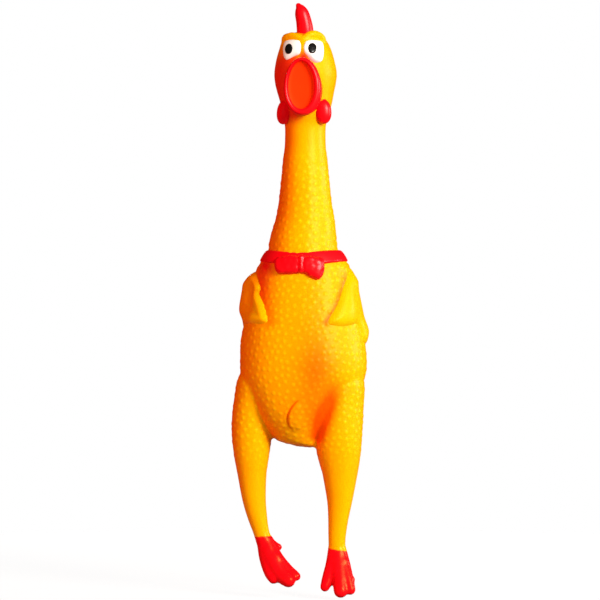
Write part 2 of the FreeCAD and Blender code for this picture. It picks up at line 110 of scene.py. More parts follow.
class Form:
    """Vertices in millimetres and faces, gathered from several closed shapes."""

    def __init__(self):
        self.points = []
        self.faces = []

    def add_rings(self, rings):
        """A closed shape through equal rings of points, with its two ends closed."""
        base = len(self.points)
        around = len(rings[0])
        for ring in rings:
            self.points.extend(tuple(point) for point in ring)
        for row in range(len(rings) - 1):
            low = base + row * around
            for step in range(around):
                after = (step + 1) % around
                self.faces.append((low + step, low + after, low + around + after, low + around + step))
        last = base + (len(rings) - 1) * around
        self.faces.append(tuple(range(base + around - 1, base - 1, -1)))
        self.faces.append(tuple(range(last, last + around)))

    def add_column(self, stations, around=72):
        """Level ellipses, each given as (height, x, y, half width, half depth)."""
        rings = []
        turns = [ROUND * step / around for step in range(around)]
        for z, x, y, wide, deep in through(stations, COLUMN_STEPS):
            wide, deep = max(wide, THINNEST), max(deep, THINNEST)
            rings.append([(x + wide * math.cos(turn), y + deep * math.sin(turn), z) for turn in turns])
        self.add_rings(rings)

    def add_limb(self, stations, around=24, flat=1.0):
        """A round limb along (x, y, z, radius) stations with round ends; flat thins it along Y."""
        line = through(stations, LIMB_STEPS)
        rings = []
        centres, radii = line[:, :3], line[:, 3]
        tangents = np.gradient(centres, axis=0)
        ends = [(0, -1)] + [(number, 0) for number in range(len(line))] + [(len(line) - 1, 1)]
        for number, end in ends:
            along = tangents[number] / np.linalg.norm(tangents[number])
            side = np.cross(along, (0.0, 1.0, 0.0))
            side /= np.linalg.norm(side)
            depth = np.cross(side, along)
            bands = [(0.0, 1.0)]
            if end:
                bands = [(end * math.sin(turn), math.cos(turn)) for turn in LIMB_END_TURNS]
                bands = bands if end > 0 else bands[::-1]
            for shift, share in bands:
                middle = centres[number] + along * shift * radii[number]
                ring = []
                for step in range(around):
                    turn = ROUND * step / around
                    ring.append(middle + radii[number] * share * (
                        side * math.cos(turn) + depth * flat * math.sin(turn)))
                rings.append(ring)
        self.add_rings(rings)

    def add_egg(self, centre, radii, lean=0.0, around=40, power=1.0):
        """An ellipsoid leaned about Y; power under 1 makes it squarer, like a cushion."""
        rings = []
        cos_lean, sin_lean = math.cos(lean), math.sin(lean)
        for level in range(1, EGG_LEVELS):
            fall = math.pi * level / EGG_LEVELS
            ring = []
            for step in range(around):
                turn = ROUND * step / around
                wide, tall = math.sin(fall) * math.cos(turn), math.cos(fall)
                x = math.copysign(abs(wide) ** power, wide) * radii[0]
                deep = math.sin(fall) * math.sin(turn)
                y = math.copysign(abs(deep) ** power, deep) * radii[1]
                z = math.copysign(abs(tall) ** power, tall) * radii[2]
                ring.append((centre[0] + x * cos_lean + z * sin_lean, centre[1] + y,
                             centre[2] - x * sin_lean + z * cos_lean))
            rings.append(ring)
        self.add_rings(rings)

    def add_slab(self, outer, inner, keep, flip=False):
        """A closed sheet between two grids of points, over the cells whose four corners are kept."""
        base = len(self.points)
        rows, columns = keep.shape
        for grid in (outer, inner):
            self.points.extend(tuple(point) for point in grid.reshape(-1, 3))
        under = rows * columns
        cell = np.zeros((rows + 1, columns + 1), bool)
        cell[1:-1, 1:-1] = keep[:-1, :-1] & keep[1:, :-1] & keep[:-1, 1:] & keep[1:, 1:]
        for row, column in np.argwhere(cell):
            a = base + (row - 1) * columns + column - 1
            b, c, d = a + 1, a + columns + 1, a + columns
            faces = [(a, b, c, d), (d + under, c + under, b + under, a + under)]
            for beside, start, end in (((row - 1, column), b, a), ((row + 1, column), d, c),
                                       ((row, column - 1), a, d), ((row, column + 1), c, b)):
                if not cell[beside]:
                    faces.append((start, end, end + under, start + under))
            self.faces.extend(tuple(reversed(face)) if flip else face for face in faces)


def make_mesh(name, points, faces):
    mesh = bpy.data.meshes.new(name)
    mesh.from_pydata([tuple(point) for point in np.asarray(points) * MM], [], [tuple(face) for face in faces])
    mesh.validate()
    return mesh


def make_object(name, mesh):
    piece = bpy.data.objects.new(name, mesh)
    bpy.context.scene.collection.objects.link(piece)
    return piece


def fused(form, voxel, relax=6):
    """The outer skin of a form's overlapping shapes, remeshed evenly; returns points in mm and faces."""
    piece = make_object("fusing", make_mesh("fusing", form.points, form.faces))
    remesh = piece.modifiers.new("remesh", "REMESH")
    remesh.mode = "VOXEL"
    remesh.voxel_size = voxel * MM
    remesh.adaptivity = 0
    points, faces = evaluated(piece)
    bpy.data.objects.remove(piece)
    return relaxed(points, faces, relax), faces


def evaluated(piece):
    """A piece's mesh after its modifiers, as points in mm and an array of four-sided faces."""
    depsgraph = bpy.context.evaluated_depsgraph_get()
    mesh = bpy.data.meshes.new_from_object(piece.evaluated_get(depsgraph))
    points = np.empty(len(mesh.vertices) * 3)
    mesh.vertices.foreach_get("co", points)
    corners = np.empty(len(mesh.loops), np.int32)
    mesh.loops.foreach_get("vertex_index", corners)
    bpy.data.meshes.remove(mesh)
    return points.reshape(-1, 3) / MM, corners.reshape(-1, 4)


def edges_of(faces):
    pairs = np.vstack([faces[:, [corner, (corner + 1) % 4]] for corner in range(4)])
    return np.unique(np.sort(pairs, axis=1), axis=0)


def relaxed(points, faces, rounds, strength=None):
    """Evens a mesh out without shrinking it: each round smooths inwards, then eases back outwards."""
    edges = edges_of(faces)
    ends = np.concatenate([edges[:, 0], edges[:, 1]])
    others = np.concatenate([edges[:, 1], edges[:, 0]])
    counts = np.bincount(ends, minlength=len(points))[:, None]
    points = points.copy()
    share = np.ones((len(points), 1)) if strength is None else strength[:, None]
    for _ in range(rounds):
        for pull in (EASE_IN, EASE_OUT):
            sums = np.column_stack([np.bincount(ends, weights=points[others, axis], minlength=len(points))
                                    for axis in range(3)])
            points += pull * share * (sums / counts - points)
    return points


def normals_of(points, faces):
    a, b, c, d = (points[faces[:, corner]] for corner in range(4))
    face_normals = np.cross(c - a, d - b)
    sums = np.column_stack([
        np.bincount(faces.ravel(), weights=np.repeat(face_normals[:, axis], 4), minlength=len(points))
        for axis in range(3)])
    return sums / np.maximum(np.linalg.norm(sums, axis=1, keepdims=True), 1e-12)


def piece_of(name, points, faces, layers=None, normals=None):
    """A smooth piece from part of a larger mesh; layers are named numbers per point for its material."""
    used, local = np.unique(faces, return_inverse=True)
    mesh = make_mesh(name, points[used], local.reshape(faces.shape).tolist())
    mesh.shade_smooth()
    for layer, values in (layers or {}).items():
        attribute = mesh.attributes.new(layer, "FLOAT", "POINT")
        attribute.data.foreach_set("value", values[used].astype(np.float32))
    if normals is not None:
        mesh.normals_split_custom_set_from_vertices([tuple(normal) for normal in normals[used]])
    return make_object(name, mesh)


# ---------------------------------------------------------------- materials

YELLOW_WARM = (1.0, 0.36, 0.0, 1)
YELLOW_GROUND = (1.0, 0.41, 0.0, 1)
# Paler yellow for the dome tops: a painted highlight where light catches them.
YELLOW_DOME_HIGHLIGHT = (1.0, 0.48, 0.001, 1)
# Deep orange for painted shade: in the folds, on the belly and on the right flank.
SHADE_ORANGE = (1.0, 0.09, 0.0, 1)
RED_PAINT = (0.86, 0.001, 0.006, 1)
RED_WORN = (0.84, 0.004, 0.008, 1)
LINING_ORANGE = (1.0, 0.028, 0.001, 1)
LINING_WORN = (1.0, 0.036, 0.001, 1)
EYE_WHITE = (0.95, 0.94, 0.90, 1)
EYE_WORN = (0.90, 0.88, 0.82, 1)
PUPIL_BLACK = (0.004, 0.004, 0.004, 1)
PUPIL_WORN = (0.012, 0.011, 0.010, 1)
SQUEAKER_WHITE = (0.86, 0.86, 0.82, 1)
REED_AMBER = (0.80, 0.72, 0.42, 1)
FLOOR_PALE = (0.90, 0.90, 0.90, 1)
FLOOR_PALER = (0.92, 0.92, 0.92, 1)
WARM_GLOSS = (1.0, 0.80, 0.20, 1)


def new_material(name):
    material = bpy.data.materials.new(name)
    material.use_nodes = True
    shader = material.node_tree.nodes["Principled BSDF"]
    return material, material.node_tree.nodes, material.node_tree.links, shader


def speckle(nodes, links, scale, detail):
    """Noise in the part's own coordinates."""
    place = nodes.new("ShaderNodeTexCoord")
    texture = nodes.new("ShaderNodeTexNoise")
    texture.inputs["Scale"].default_value = scale
    texture.inputs["Detail"].default_value = detail
    links.new(place.outputs["Object"], texture.inputs["Vector"])
    return texture.outputs["Fac"]


def ramp(nodes, links, source, stops):
    node = nodes.new("ShaderNodeValToRGB")
    node.color_ramp.elements[0].position, node.color_ramp.elements[0].color = stops[0]
    node.color_ramp.elements[1].position, node.color_ramp.elements[1].color = stops[-1]
    for position, colour in stops[1:-1]:
        node.color_ramp.elements.new(position).color = colour
    links.new(source, node.inputs["Fac"])
    return node.outputs["Color"]


def mixed(nodes, links, share, first, second):
    """Mixes two colours, each a socket or a colour, by the share that a socket gives."""
    node = nodes.new("ShaderNodeMix")
    node.data_type = "RGBA"
    for value, socket in ((share, node.inputs[0]), (first, node.inputs[6]), (second, node.inputs[7])):
        if isinstance(value, bpy.types.NodeSocket):
            links.new(value, socket)
        else:
            socket.default_value = value
    return node.outputs[2]


def layer_value(nodes, layer):
    node = nodes.new("ShaderNodeAttribute")
    node.attribute_name = layer
    return node.outputs["Fac"]


def add_bump(nodes, links, shader, source, strength, distance):
    bump = nodes.new("ShaderNodeBump")
    bump.inputs["Strength"].default_value = strength
    bump.inputs["Distance"].default_value = distance
    links.new(source, bump.inputs["Height"])
    links.new(bump.outputs["Normal"], shader.inputs["Normal"])


def soft_body(shader, weight, radius, scale):
    shader.inputs["Subsurface Weight"].default_value = weight
    shader.inputs["Subsurface Radius"].default_value = radius
    shader.inputs["Subsurface Scale"].default_value = scale


def gloss(shader):
    """Vinyl's soft warm reflections."""
    shader.inputs["Specular IOR Level"].default_value = 0.18
    shader.inputs["Specular Tint"].default_value = WARM_GLOSS


def vinyl_colour(nodes, links):
    """Orange-yellow ground, paler dome tops as painted highlight, deeper orange as painted shade in folds."""
    ground = ramp(nodes, links, speckle(nodes, links, 28.0, 3.0),
                  [(0.30, YELLOW_WARM), (0.70, YELLOW_GROUND)])
    studded = mixed(nodes, links, layer_value(nodes, "dome_highlight"), ground, YELLOW_DOME_HIGHLIGHT)
    shaded = mixed(nodes, links, layer_value(nodes, "painted_shade"), studded, SHADE_ORANGE)
    # Red on the face and under the collar: partly paint, partly painted reflection and painted shade.
    return mixed(nodes, links, layer_value(nodes, "red_mist_and_shade"), shaded, RED_PAINT)


def rough_from(nodes, links, shader, low, high):
    """Gloss that varies a little, as handled vinyl's does."""
    span = nodes.new("ShaderNodeMapRange")
    span.inputs["To Min"].default_value = low
    span.inputs["To Max"].default_value = high
    links.new(speckle(nodes, links, 60.0, 4.0), span.inputs["Value"])
    links.new(span.outputs["Result"], shader.inputs["Roughness"])


def vinyl_material():
    material, nodes, links, shader = new_material("yellow vinyl")
    links.new(vinyl_colour(nodes, links), shader.inputs["Base Color"])
    rough_from(nodes, links, shader, 0.32, 0.46)
    add_bump(nodes, links, shader, speckle(nodes, links, 900.0, 3.0), 0.10, 0.0004)
    soft_body(shader, 0.22, (1.0, 0.30, 0.05), 0.003)
    gloss(shader)
    return material


def painted_material(name, paint, worn, low=0.30, high=0.42, reddened=False):
    """Glossy paint on vinyl with a slightly uneven coat, and red where its point layer has it: overspray and
    painted reflection.
    """
    material, nodes, links, shader = new_material(name)
    colour = ramp(nodes, links, speckle(nodes, links, 45.0, 5.0), [(0.35, paint), (0.75, worn)])
    if reddened:
        colour = mixed(nodes, links, layer_value(nodes, "red_mist_and_shade"), colour, RED_PAINT)
    links.new(colour, shader.inputs["Base Color"])
    rough_from(nodes, links, shader, low, high)
    shader.inputs["Specular IOR Level"].default_value = 0.22
    add_bump(nodes, links, shader, speckle(nodes, links, 700.0, 4.0), 0.12, 0.0004)
    return material


def foot_material():
    """Red paint up to the ankle, where it meets bare yellow vinyl."""
    material, nodes, links, shader = new_material("dipped foot")
    red = ramp(nodes, links, speckle(nodes, links, 45.0, 5.0), [(0.35, RED_PAINT), (0.75, RED_WORN)])
    colour = mixed(nodes, links, layer_value(nodes, "paint"), vinyl_colour(nodes, links), red)
    links.new(colour, shader.inputs["Base Color"])
    rough_from(nodes, links, shader, 0.24, 0.36)
    add_bump(nodes, links, shader, speckle(nodes, links, 700.0, 4.0), 0.12, 0.0004)
    soft_body(shader, 0.15, (1.0, 0.20, 0.05), 0.002)
    gloss(shader)
    return material


def plastic_material(name, colour, roughness):
    """Hard moulded plastic with a faint grain."""
    material, nodes, links, shader = new_material(name)
    darker = tuple(0.9 * value for value in colour[:3]) + (1,)
    links.new(ramp(nodes, links, speckle(nodes, links, 120.0, 3.0), [(0.3, darker), (0.7, colour)]),
              shader.inputs["Base Color"])
    shader.inputs["Roughness"].default_value = roughness
    add_bump(nodes, links, shader, speckle(nodes, links, 1500.0, 2.0), 0.08, 0.0002)
    return material


def paint_piece(piece, material):
    piece.data.materials.clear()
    piece.data.materials.append(material)


VINYL = vinyl_material()
RED = painted_material("red paint", RED_PAINT, RED_WORN)
FOOT_RED = foot_material()
ORANGE = painted_material("orange lining", LINING_ORANGE, LINING_WORN, 0.55, 0.65)
gloss(ORANGE.node_tree.nodes["Principled BSDF"])
WHITE = painted_material("eye white", EYE_WHITE, EYE_WORN, 0.3, 0.4, reddened=True)
BLACK = painted_material("pupil black", PUPIL_BLACK, PUPIL_WORN, 0.15, 0.25)
SQUEAKER = plastic_material("squeaker plastic", SQUEAKER_WHITE, 0.35)
REED = plastic_material("reed film", REED_AMBER, 0.5)


# ---------------------------------------------------------------- the skin's form

# (height, x, y, half width, half depth) of the torso, neck and head, from the belly's keel upwards
BODY = [
    (-65.0, 5, -2, 3.5, 4), (-64.4, 3.6, -2, 8, 8), (-63.2, 1.4, -2, 10.5, 11), (-61.3, -2.2, -2, 14, 14),
    (-57, -4.8, -2, 18, 18),
    (-50, -5.4, -2, 23, 23), (-42, -4.5, -1.5, 29, 27.5), (-32, -3, -1, 35, 30.5), (-20, -0.9, -1, 41.4, 32),
    (-8, -0.3, -1, 42.7, 32.5), (6, -0.8, -0.5, 41.9, 32), (18, -0.7, 0, 39.6, 31), (30, 0, 0, 36.5, 29),
    (40, -0.2, 0, 34.6, 27), (46, -0.5, 0, 33.7, 26.2), (51, -0.7, 0, 32.4, 25.4), (55, -0.3, 0, 31.4, 24.8),
    (59, 0, 0, 29.2, 24.3), (63, -0.2, 0, 25.6, 23.8), (67, -0.5, 0, 23.5, 23.2), (72.7, -0.6, 0, 22.8, 22.3),
    (80.8, 0, 0, 21.4, 21), (88.9, 0.7, 0, 19.7, 19.4),
    (97, 0.8, 0, 18.2, 17.9), (105, 0.9, 0, 17.2, 17), (113, 0.9, 0, 16.4, 16.2), (121, 0.8, 0, 15.6, 15.5),
    (129, 0.8, 0, 15, 14.9), (137.4, 0.9, 0, 13.9, 13.8), (149.5, 0.9, 0.3, 13.7, 14), (157, 1, 1, 15, 16.5),
    (165, 1.4, 2, 17, 19.5), (174, 0.9, 2, 19.2, 21.5), (180, 0.8, 2, 20.5, 22.6), (187, 0.9, 2, 21, 23),
    (196, 0.7, 2, 19.4, 22.5), (203, 0.6, 2, 17.2, 21), (207.4, 0.2, 2, 15.4, 18.5), (211.4, 0, 2, 12.4, 15),
    (213.3, 0, 2, 8.5, 10), (214.2, 0, 2, 4, 4.5),
]
# (x, y, height, radius) down each leg as far as the ankle
LEFT_LEG = [
    (20, -3, -6, 13), (21.8, -4, -22, 19), (23, -5, -40, 17.6), (23.7, -5.5, -55, 16.1),
    (24.1, -5, -67.3, 15), (24.6, -5, -77, 13.2), (24.8, -5, -84, 11.6), (24.6, -5, -100, 8.7),
    (23.6, -5, -114, 6.7), (22.8, -5, -125, 5.9), (22.8, -5.3, -132, 5.7),
]
RIGHT_LEG = [
    (-27, -2, -8, 10), (-28.8, -3, -22, 15.8), (-31.6, -3, -34, 15.4), (-34, -3, -45, 14.4),
    (-34.9, -3, -57, 13.6), (-35.2, -3, -69, 12.1), (-35.1, -3, -77, 10.9), (-34.8, -3, -84, 9.8),
    (-33.4, -3, -100, 8.0), (-31.2, -3, -112, 6.6), (-28.7, -3, -122, 5.5), (-26.2, -3.3, -130, 5.4),
]
# Toes and spur as limbs of (x, y, height, radius) from the ankle
LEFT_TOES = [
    [(22.4, -5.3, -131, 5.4), (20.9, -8, -143, 5.4), (17.6, -12, -152, 4.3), (15.6, -14.5, -157.9, 3.4)],
    [(22.8, -5.3, -131, 5.6), (24.2, -9, -143, 5.8), (25.6, -14, -153, 5.2), (26.4, -17.5, -160.2, 4.8)],
    [(23.0, -5.3, -131, 5.4), (26.6, -8.5, -143, 5.3), (30.2, -13, -152.5, 4.5), (32.6, -16, -159.4, 3.7)],
    [(22.6, -4, -133, 4.6), (22.4, 1, -138, 3.7), (22.0, 5, -141, 3.0)],
]
RIGHT_TOES = [
    [(-26.6, -3.3, -128, 5.2), (-24.2, -5, -140, 5.4), (-21.6, -8, -149, 4.6), (-19.4, -10.5, -153.0, 3.8)],
    [(-26.2, -3.3, -128, 5.2), (-21.0, -6, -140, 6.0), (-14.6, -10, -150, 5.4), (-9.2, -12.5, -154, 4.9)],
    [(-25.4, -3.3, -128, 5.0), (-18.4, -4, -139.5, 4.8), (-10.8, -7, -147.4, 4.3), (-4.2, -9.5, -151.5, 3.2)],
    [(-24.6, -3, -130, 4.8), (-20.8, -0.5, -132.2, 4.0), (-17.4, 1.5, -133, 2.6)],
]
# Knuckle bumps on the outer toes
KNUCKLES = [(33.2, -13, -153.2, 2.6), (-12.6, -6, -144.3, 2.6), (-8.0, -8, -148.4, 2.4)]
# Brow ridges as limbs, from the side of the head up over each eye and down to the dip between them
BROWS = [
    [(-12.9, -4.5, 205.2, 2.2), (-11.7, -7.4, 209.1, 2.7), (-8.6, -10.4, 210.2, 2.8),
     (-5.2, -12.4, 210.1, 2.8), (-2.1, -14.2, 208.9, 2.5), (0.4, -15.8, 206.8, 2.0)],
    [(13.9, -4.5, 206.0, 2.2), (12.4, -6.8, 209.4, 2.7), (9.4, -9.8, 211.2, 2.9), (5.9, -12.3, 211.1, 2.9),
     (3.0, -13.8, 209.5, 2.6), (0.7, -15.8, 206.8, 2.0)],
]
PALMS = [((25.2, -9.6, -146), (7.4, 4.4, 9.5), 0.0), ((-18.8, -7.6, -143), (6.6, 4.3, 9.5), -0.5)]

COARSE_VOXEL = 1.0
FINE_VOXEL = 0.6


def skin_form():
    form = Form()
    form.add_column(BODY, around=96)
    for brow in BROWS:
        form.add_limb(brow)
    for leg in (LEFT_LEG, RIGHT_LEG):
        form.add_limb(leg, around=48)
    for toe in LEFT_TOES + RIGHT_TOES:
        form.add_limb(toe, flat=0.9)
    for centre, radii, lean in PALMS:
        form.add_egg(centre, radii, lean)
    for x, y, z, radius in KNUCKLES:
        form.add_egg((x, y, z), (radius, radius, radius), around=20)
    return form


def form_of_quads(points, faces):
    form = Form()
    form.points = [tuple(point) for point in points]
    form.faces = faces.tolist()
    return form


def smooth_skin():
    """The fused skin: folds eased on the body, feet left crisp, then remeshed finely."""
    points, faces = fused(skin_form(), COARSE_VOXEL, relax=2)
    ease = smooth_step(-132, -118, points[:, 2])
    points = relaxed(points, faces, 26, ease)
    return fused(form_of_quads(points, faces), FINE_VOXEL, relax=4)


# ---------------------------------------------------------------- relief on the skin

DOME_SPACING = 4.1
DOME_RADIUS = 1.75
DOME_RISE = 0.27
DOME_SEED = 7


def dome_strength(points):
    """How tall the domes are: full on neck, torso and thighs, none on the shanks and the face."""
    height = points[:, 2]
    legs = smooth_step(-94, -50, height)
    behind_face = smooth_step(4, 10, points[:, 1])
    head = 1 - smooth_step(116, 142, height) * (1 - behind_face)
    return legs * head


def scattered(points, spacing):
    """Evenly but irregularly spread points, each at least a spacing from the others."""
    order = list(range(len(points)))
    random.Random(DOME_SEED).shuffle(order)
    cells = {}
    kept = []
    for index in order:
        point = points[index]
        cell = tuple(int(value // spacing) for value in point)
        crowded = False
        for dx in (-1, 0, 1):
            for dy in (-1, 0, 1):
                for dz in (-1, 0, 1):
                    for other in cells.get((cell[0] + dx, cell[1] + dy, cell[2] + dz), ()):
                        if sum((a - b) ** 2 for a, b in zip(point, other)) < spacing * spacing:
                            crowded = True
        if not crowded:
            cells.setdefault(cell, []).append(point)
            kept.append(index)
    return kept


def dome_layer(points):
    """0 between the domes rising to 1 on their tops."""
    strength = dome_strength(points)
    seats = [tuple(point) for point in points]
    centres = scattered(seats, DOME_SPACING)
    tree = kdtree.KDTree(len(centres))
    for number, index in enumerate(centres):
        tree.insert(seats[index], number)
    tree.balance()
    away = np.array([tree.find(seat)[2] for seat in seats])
    return strength * np.clip(1 - (away / DOME_RADIUS) ** 2, 0, 1) ** 1.3


def vent_relief(points):
    """A low upright fold on the belly's keel: a sharp crease on its right and a soft fall on its left."""
    x, y, z = points.T
    front = smooth_step(-20, -26, y)
    edge = -8.3 + 0.048 * (z + 45.5) ** 2
    window = smooth_step(-57, -50, z) * smooth_step(-33, -38, z)
    rise = smooth_step(edge - 0.3, edge + 1.4, x) * smooth_step(4.5, -2.5, x)
    groove = np.exp(-((x - edge) / 0.8) ** 2) * smooth_step(-55, -49, z) * smooth_step(-32.5, -34.5, z)
    return front * (1.0 * rise * window - 0.7 * groove), front * groove


def near_line(points, line, reach):
    """1 on a line of (x, z) stations across the front of the body, fading to 0 at about twice the reach."""
    x, y, z = points.T
    middle = np.interp(z, [station[1] for station in line], [station[0] for station in line])
    ends = smooth_step(line[0][1] - 6, line[0][1] + 2, z) * smooth_step(line[-1][1] + 10, line[-1][1] - 2, z)
    return np.exp(-((x - middle) / reach) ** 2) * ends * smooth_step(-4, -12, y)


# The folds between belly and thighs as (x, height), from the crotch upwards
LEFT_FOLD = [(9.5, -59), (15, -47), (19.6, -36), (23, -25)]
RIGHT_FOLD = [(-20, -58), (-21.5, -47), (-26, -36)]
# The creases in front of the wings, from their tips upwards, which get painted shade
LEFT_WING_CREASE = [(17.5, 19), (22.5, 27), (26, 36), (29, 47)]
RIGHT_WING_CREASE = [(-19.5, 18), (-24, 30), (-26.5, 38), (-28.5, 48)]


def uneven(points):
    """Slow swells of hand-made tooling."""
    return np.array([noise.noise(Vector(point) * 0.05) for point in points])


# ---------------------------------------------------------------- splitting the skin at the joints


NECK_CUTS = (61.0, 99.0, 132.5, 157.5)
HIP_TOP = -34.0
KNEE_TOP = -74.0
ANKLE_TOP = -119.6
BELLY_DEPTH = -23.6


def crease_left(height):
    return np.interp(height, [-66.0, -65.9, -58, -42.4, -34], [4.0, 7.0, 7.5, 11.0, 14.0])


def crease_right(height):
    return np.interp(height, [-66.0, -65.9, -59, -47, -35], [4.0, -21.0, -21.0, -21.7, -26.7])


def skin_regions(centres):
    """Names the stretch of skin that each face belongs to."""
    x, y, z = centres.T
    region = np.full(len(centres), "torso", dtype=object)
    region[y < BELLY_DEPTH] = "belly"
    for name, low in zip(("neck_base", "neck_mid", "neck_top", "head"), NECK_CUTS):
        region[z > low] = name
    left_leg = (z < HIP_TOP) & (x > crease_left(z))
    right_leg = (z < HIP_TOP) & (x < crease_right(z))
    for side, leg in (("left", left_leg), ("right", right_leg)):
        region[leg] = f"{side}_thigh"
        region[leg & (z < KNEE_TOP)] = f"{side}_knee"
        region[leg & (z < ANKLE_TOP)] = f"{side}_foot"
    return region


def bend(piece):
    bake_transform(piece)


def attach_skin(pieces):
    """The torso and head stretches ride on their bodies; the others keep their places, their transforms baked
    in.
    """
    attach(pieces["torso"], "torso")
    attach(pieces["head"], "head")
    bend(pieces["belly"])
    bend(pieces["neck_base"])
    bend(pieces["neck_mid"])
    bend(pieces["neck_top"])
    for side in ("left", "right"):
        bend(pieces[f"{side}_thigh"])
        bend(pieces[f"{side}_knee"])
        bend(pieces[f"{side}_foot"])


REPLACED = {
    "torso": ["torso_shell", "vent_fold"], "belly": ["belly_panel"], "neck_base": ["lower_neck"],
    "neck_mid": ["upper_neck"], "neck_top": [], "head": ["head_shell"],
    "left_thigh": ["thigh_left"], "left_knee": ["shank_left"], "left_foot": ["foot_left"],
    "right_thigh": ["thigh_right"], "right_knee": ["shank_right"], "right_foot": ["foot_right"],
}
# Where the red paint ends on each ankle, and how it slants towards +X
PAINT_EDGE = {"left": (22.6, -133.4, -0.16), "right": (-28.3, -125.2, 0.05)}


def paint_layer(points):
    """1 where the foot is red; the edge wanders a little, as hand-sprayed paint does."""
    paint = np.zeros(len(points))
    wander = np.array([noise.noise(Vector(point) * 0.35) for point in points]) * 0.5
    for side, (x, height, slope) in PAINT_EDGE.items():
        this_leg = (points[:, 0] > 0) if side == "left" else (points[:, 0] <= 0)
        edge = height + slope * (points[:, 0] - x) + wander
        paint[this_leg] = smooth_step(edge + 0.35, edge - 0.35, points[:, 2])[this_leg]
    return paint


def patch(points, centre, wide, tall):
    """A soft oval on the front of the body: 1 at its middle (x, height)."""
    away = ((points[:, 0] - centre[0]) / wide) ** 2 + ((points[:, 2] - centre[1]) / tall) ** 2
    return np.exp(-away) * smooth_step(0, -12, points[:, 1])


# Patches of painted shade in deeper orange on the belly: middle (x, height), half width, half height and
# share
BELLY_SHADE_PATCHES = [((9, 3), 17, 38, 0.36), ((12, -15), 13, 20, 0.48), ((0, -38), 15, 14, 0.30),
                  ((13, -46), 8, 13, 0.40), ((-17, -56), 6, 7, 0.35)]


def painted_shade_layer(points, normals, left_fold, right_fold, crease):
    """How far the painted shade in deep orange goes: strong in the folds, softer on the belly and the right
    flank.
    """
    height = points[:, 2]
    start = np.interp(height, [-30, 20, 90], [0.35, 0.2, 0.0])
    strength = np.interp(height, [-126, -90, -50, 20, 90, 188, 206], [0.0, 0.5, 0.8, 0.65, 0.85, 0.85, 0.1])
    flank = strength * smooth_step(start, 1.0, -normals[:, 0])
    folds = 0.9 * left_fold * smooth_step(-10, -42, height) + 0.2 * right_fold + 0.6 * crease
    wings = 0.7 * near_line(points, LEFT_WING_CREASE, 2.4) + 0.5 * near_line(points, RIGHT_WING_CREASE, 5.5)
    belly = sum(share * patch(points, centre, wide, tall) for centre, wide, tall, share in BELLY_SHADE_PATCHES)
    return np.clip(flank + folds + wings + belly, 0, 1)


def beak_distance(points):
    """1 on the beak's outer edge, growing outwards."""
    return np.hypot((points[:, 0] - BEAK_X) / 13.4, (points[:, 2] - BEAK_Z) / 20.0)


def red_mist_and_shade_layer(points):
    """Red on the right cheek, up between the eyes and under the collar beside the bow; partly paint, partly
    painted shade.
    """
    x, y, z = points.T
    # Right cheek: painted reflection of the red beak and painted shade.
    cheek = 0.9 * smooth_step(2.8, 1.4, beak_distance(points)) * smooth_step(4, -5, x) * smooth_step(16, 6, y)
    cheek *= smooth_step(209, 192, z)
    bridge = np.exp(-((x - BEAK_X + 0.6) / 4.4) ** 2) * smooth_step(203.5, 195, z) * (z > BEAK_Z)
    face = np.maximum(cheek, bridge * smooth_step(2, -6, y)) * smooth_step(150, 158, z)
    # Under the collar beside the bow: red overspray and painted shade.
    collar = 0.9 * patch(points, (-24, 57), 8, 7) + 0.35 * patch(points, (-25, 46), 5, 9)
    return np.clip(face + collar, 0, 1)


def make_skin():
    """Makes the skin's pieces and returns its surface, for the features that lie on it."""
    points, faces = smooth_skin()
    normals = normals_of(points, faces)
    domes = dome_layer(points)
    relief, crease = vent_relief(points)
    left_fold = near_line(points, LEFT_FOLD, 5.6)
    right_fold = near_line(points, RIGHT_FOLD, 3.0)
    relief -= 0.9 * left_fold
    domes *= 1 - np.maximum(crease, 0.7 * left_fold)
    # Colour layers: painted highlight on the dome tops, painted shade in orange, red feet, red paint and
    # painted shade.
    layers = {"dome_highlight": domes, "painted_shade": painted_shade_layer(points, normals, left_fold, right_fold, crease),
              "paint": paint_layer(points), "red_mist_and_shade": red_mist_and_shade_layer(points)}
    points = points + normals * (DOME_RISE * domes + relief + 0.25 * uneven(points))[:, None]
    normals = normals_of(points, faces)
    surface = bvhtree.BVHTree.FromPolygons([tuple(point) for point in points], faces.tolist())
    regions = skin_regions(points[faces].mean(axis=1))
    pieces = {}
    for name, replaced in REPLACED.items():
        piece = piece_of(f"skin_{name}", points, faces[regions == name], layers, normals)
        is_foot = name.endswith("foot")
        paint_piece(piece, FOOT_RED if is_foot else VINYL)
        if replaced:
            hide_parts(*replaced)
        pieces[name] = piece
    attach_skin(pieces)
    return surface


# How far the inner skins lie under the outer one, and how much painted shade in deep orange they have
HIP_INSET = 2.0
KEEL_INSET_SIDE = 1.4
KEEL_INSET_FRONT = 3.0
LINING_RIM = 0.5
LINING_SHADE = 0.6
LINING_VOXEL = 1.4


